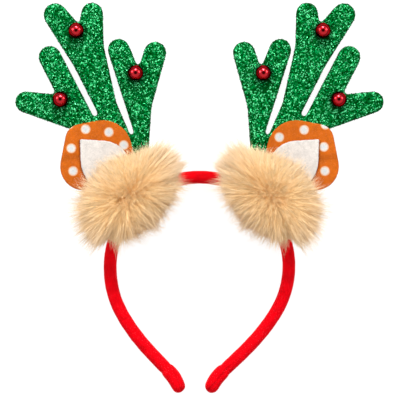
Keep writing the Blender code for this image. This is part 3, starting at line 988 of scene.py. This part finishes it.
def drape(rng, paths, tree, highest):
    """Lifts strands that come from above onto the neighbours that they would sink into."""
    from_above = paths[:, :1, 2] > highest
    for strand, section in zip(*np.nonzero((paths[..., 2] < highest) & from_above)):
        x, y, z = paths[strand, section]
        top = tree.ray_cast(Vector((x, y, highest + NEIGHBOUR_GAP)), Vector((0, 0, -1)))[0]
        if top is not None:
            paths[strand, section, 2] = max(z, top.z + rng.uniform(*STRAND_CLEAR))


def lying_over(rng, way, look):
    """Where strands rooted along these directions end, lying over from a short ridge at the front."""
    aside = way * (1, 1, 0)
    aside[:, 0] -= np.clip(aside[:, 0], -look.ridge, look.ridge)
    outward = unit(aside)
    along = unit(outward - np.sum(outward * way, axis=1, keepdims=True) * way)
    turn = look.lie * rng.uniform(*STRAND_LIE, (len(way), 1)) * np.linalg.norm(aside, axis=1, keepdims=True)
    return way * np.cos(turn) + along * np.sin(turn)


def nearest_of(way, centres):
    """Which of some directions is nearest to each of many."""
    return np.concatenate([np.argmax(part @ centres.T, axis=1) for part in np.array_split(way, 32)])


def trimmed(way, side):
    """What strands that end in these directions have of the usual reach, and their wisps of theirs."""
    bearing = np.degrees(np.arctan2(way[:, 1], -side * way[:, 0]))
    level = np.hypot(way[:, 0], way[:, 1])
    known = np.array(FUR_TRIM).T
    shares = [np.interp(bearing, known[0], column, period=360) for column in known[1:]]
    return [(1 + level * (share - 1))[:, None] for share in shares]


def comb(rng, look, layer, side):
    """A layer's strands in a ball of radius 1, and their tones, gathered into tufts and finer locks."""
    count = int(look.strands * layer.share)
    way = random_units(rng, count)
    turned = (way[:, 2] < 0) & (rng.random(count) < look.front)
    way[turned, 2] *= -1
    tip_way = lying_over(rng, way, look)
    wisps = np.minimum(rng.exponential(1.0, (count, 1)), WISP_LIMIT)
    tone = STRAND_TONE * rng.random((count, 1))
    shorter = np.ones((count, 1))
    for gathered, pull, weight in ((look.tufts, TUFT_PULL, TUFT_TONE), (look.locks, layer.pull, LOCK_TONE)):
        centres = random_units(rng, gathered)
        mine = nearest_of(way, centres)
        ends = lying_over(rng, centres, look) + look.lean * rng.normal(size=centres.shape)
        tip_way = unit(tip_way + rng.uniform(*pull, (count, 1)) * (ends[mine] - tip_way))
        shorter *= rng.uniform(*GATHERED_REACH, (gathered, 1))[mine]
        tone += weight * rng.random((gathered, 1))[mine]
    reach, wisp = trimmed(tip_way, side)
    tips = tip_way * (layer.reach * shorter * reach + layer.wisp * wisps * wisp)
    roots = (way * layer.root)[:, None]
    knees = (unit(way + KNEE_LEAN * (tip_way - way)) * layer.knee)[:, None]
    share = np.array(STRAND_SECTIONS)[None, :, None]
    paths = (1 - share) ** 2 * roots + 2 * share * (1 - share) * knees + share**2 * tips[:, None]
    curl = np.sin(share * pi * rng.uniform(*CURL_TURNS, (count, 1, 1)))
    return paths + STRAND_CURL * rng.normal(size=(count, 1, 3)) * curl, tone


def fur_core(word, centre, finish):
    """The knotted middle of a pompom, which the strands grow from."""
    core = even_skin("fur_core_" + word, "pompom_" + word, CORE_SKIN)
    points = points_of(core.data)
    put_points(core.data, centre + CORE_SHARE * (points - centre))
    for kept_word, value in (("along", CORE_ALONG), ("edge", 0.0), ("tone", CORE_TONE)):
        mark(core.data, kept_word, np.full(len(points), value))
    show(core, finish, "tan_fur", "pompom_" + word)


def make_fur(look):
    finish = fur_finish(look)
    taper = np.array([STRAND_TAPER])
    for word, side in SIDES:
        low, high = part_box("pompom_" + word)
        centre = np.array((low + high) / 2)
        centre[2] = high.z + POMPOM_RISE - POMPOM_SIZE.z / 2
        fur_core(word, centre, finish)
        tree = neighbours(word)
        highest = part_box("ear_" + word)[1].z + NEIGHBOUR_GAP
        across, up = cos(POMPOM_TILT), side * sin(POMPOM_TILT)
        turn = np.array([[across, up, 0], [-up, across, 0], [0, 0, 1]])
        for row, layer in enumerate(FUR_LAYERS):
            rng = np.random.default_rng(60 + 10 * row + side)
            ball, tone = comb(rng, look, layer, side)
            paths = (ball * np.array(POMPOM_SIZE / 2)) @ turn.T + centre
            paths[..., 2] = np.maximum(paths[..., 2], FLOOR_GAP)
            drape(rng, paths, tree, highest)
            clear = clear_strands(paths, tree, highest)
            paths, ball, tone = paths[clear], ball[clear], tone[clear]
            facing = unit(paths[:, 2] - centre + STRAND_TWIST * rng.normal(size=(len(paths), 3)))
            widths = layer.width * taper * rng.uniform(*STRAND_WIDTHS, (len(paths), 1))
            parting = np.clip(ball[..., 0], -look.ridge, look.ridge)
            off_parting = np.hypot(ball[..., 0] - parting, ball[..., 1])
            edge = np.clip((off_parting - PALE_FROM) / PALE_OVER, 0, 1)
            strands = ribbons(
                f"{layer.name}_{word}", paths, widths, facing,
                along=np.array([STRAND_SECTIONS]), edge=edge, tone=tone,
            )
            show(strands, finish, "tan_fur")


# Stage


def soft_light(lamp, power):
    light = bpy.data.lights.new(lamp.name, "AREA")
    light.size = lamp.size
    light.energy = lamp.share * power
    thing = new_object(lamp.name, light)
    thing.location = lamp.place
    thing.rotation_euler = (Vector() - Vector(lamp.place)).to_track_quat("-Z", "Y").to_euler()


def make_world(look):
    """Even light from all round, with a dark patch overhead, where the camera stands."""
    world = bpy.data.worlds.new("studio")
    bpy.context.scene.world = world
    world.use_nodes = True
    tree = world.node_tree
    way = add_node(tree, "ShaderNodeTexCoord").outputs["Generated"]
    height = add_node(tree, "ShaderNodeSeparateXYZ", {"Vector": way}).outputs["Z"]
    shade = ramp(tree, height, *((place, grey(light)) for place, light in SKY))
    tree.links.new(shade, tree.nodes["Background"].inputs["Color"])
    tree.nodes["Background"].inputs["Strength"].default_value = look.dome


def make_floor(look):
    bm = bmesh.new()
    bmesh.ops.create_grid(bm, x_segments=1, y_segments=1, size=FLOOR_REACH)
    bmesh.ops.translate(bm, verts=bm.verts, vec=(0, 0, -FLOOR_DROP))
    mesh = bpy.data.meshes.new("floor")
    bm.to_mesh(mesh)
    bm.free()
    floor = new_object("floor", mesh)
    made, _, _ = new_finish("pale floor", {
        "Base Color": (*look.floor, 1.0), "Roughness": 0.9, "Specular IOR Level": 0.0,
        "Emission Color": (1.0, 1.0, 1.0, 1.0), "Emission Strength": look.glow,
    })
    floor.data.materials.append(made)


def make_camera(look):
    centre = Vector((*PICTURE_MIDDLE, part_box("antler_left")[0].z))
    camera = bpy.data.cameras.new("camera")
    camera.sensor_width = 36.0
    camera.lens = camera.sensor_width * look.camera_height / look.view_width
    thing = new_object("camera", camera)
    thing.location = (centre.x, centre.y, centre.z + look.camera_height)
    bpy.context.scene.camera = thing


# Operators


class HEADBAND_OT_band(bpy.types.Operator):
    """Covers the band in red velvet"""

    bl_idname = "headband.band"
    bl_label = "Velvet band"
    bl_options = {"REGISTER", "UNDO"}

    def execute(self, context):
        make_velvet_band(context.scene.headband_look.velvet)
        return {"FINISHED"}


class HEADBAND_OT_antlers(bpy.types.Operator):
    """Pads the antlers and covers them in green glitter"""

    bl_idname = "headband.antlers"
    bl_label = "Glitter antlers"
    bl_options = {"REGISTER", "UNDO"}

    def execute(self, context):
        make_glitter_antlers(context.scene.headband_look.glitter)
        return {"FINISHED"}


class HEADBAND_OT_pearls(bpy.types.Operator):
    """Glues a red pearl below each crotch of the antlers"""

    bl_idname = "headband.pearls"
    bl_label = "Pearls"
    bl_options = {"REGISTER", "UNDO"}

    def execute(self, context):
        make_pearls(context.scene.headband_look.pearl)
        return {"FINISHED"}


class HEADBAND_OT_ears(bpy.types.Operator):
    """Cuts the ears and inner ears from felt"""

    bl_idname = "headband.ears"
    bl_label = "Felt ears"
    bl_options = {"REGISTER", "UNDO"}

    def execute(self, context):
        make_felt_ears(context.scene.headband_look.felt)
        return {"FINISHED"}


class HEADBAND_OT_fur(bpy.types.Operator):
    """Grows the two fur pompoms"""

    bl_idname = "headband.fur"
    bl_label = "Fur pompoms"
    bl_options = {"REGISTER", "UNDO"}

    def execute(self, context):
        make_fur(context.scene.headband_look.fur)
        return {"FINISHED"}


class HEADBAND_OT_stage(bpy.types.Operator):
    """Sets up the floor, the soft studio light and the camera"""

    bl_idname = "headband.stage"
    bl_label = "Stage"
    bl_options = {"REGISTER", "UNDO"}

    def execute(self, context):
        look = context.scene.headband_look.stage
        make_floor(look)
        make_world(look)
        make_camera(look)
        for lamp in LAMPS:
            soft_light(lamp, look.key)
        context.scene.view_settings.view_transform = "Standard"
        return {"FINISHED"}


class HEADBAND_PT_look(bpy.types.Panel):
    bl_label = "Headband"
    bl_idname = "HEADBAND_PT_look"
    bl_space_type = "VIEW_3D"
    bl_region_type = "UI"
    bl_category = "Headband"

    def draw(self, context):
        look = context.scene.headband_look
        groups = (look.velvet, look.glitter, look.pearl, look.felt, look.fur, look.stage)
        for operator, group in zip(OPERATORS, groups):
            box = self.layout.box()
            for word in group.bl_rna.properties.keys():
                if word not in ("rna_type", "name"):
                    box.prop(group, word)
            box.operator(operator.bl_idname)


LOOKS = (VelvetLook, GlitterLook, PearlLook, FeltLook, FurLook, StageLook, HeadbandLook)
OPERATORS = (
    HEADBAND_OT_band,
    HEADBAND_OT_antlers,
    HEADBAND_OT_pearls,
    HEADBAND_OT_ears,
    HEADBAND_OT_fur,
    HEADBAND_OT_stage,
)


def register():
    for made in (*LOOKS, *OPERATORS, HEADBAND_PT_look):
        bpy.utils.register_class(made)
    bpy.types.Scene.headband_look = PointerProperty(type=HeadbandLook)


def unregister():
    del bpy.types.Scene.headband_look
    for made in reversed((*LOOKS, *OPERATORS, HEADBAND_PT_look)):
        bpy.utils.unregister_class(made)


def main():
    register()
    bpy.ops.headband.band()
    bpy.ops.headband.antlers()
    bpy.ops.headband.pearls()
    bpy.ops.headband.ears()
    bpy.ops.headband.fur()
    bpy.ops.headband.stage()


if __name__ == "__main__":
    main()
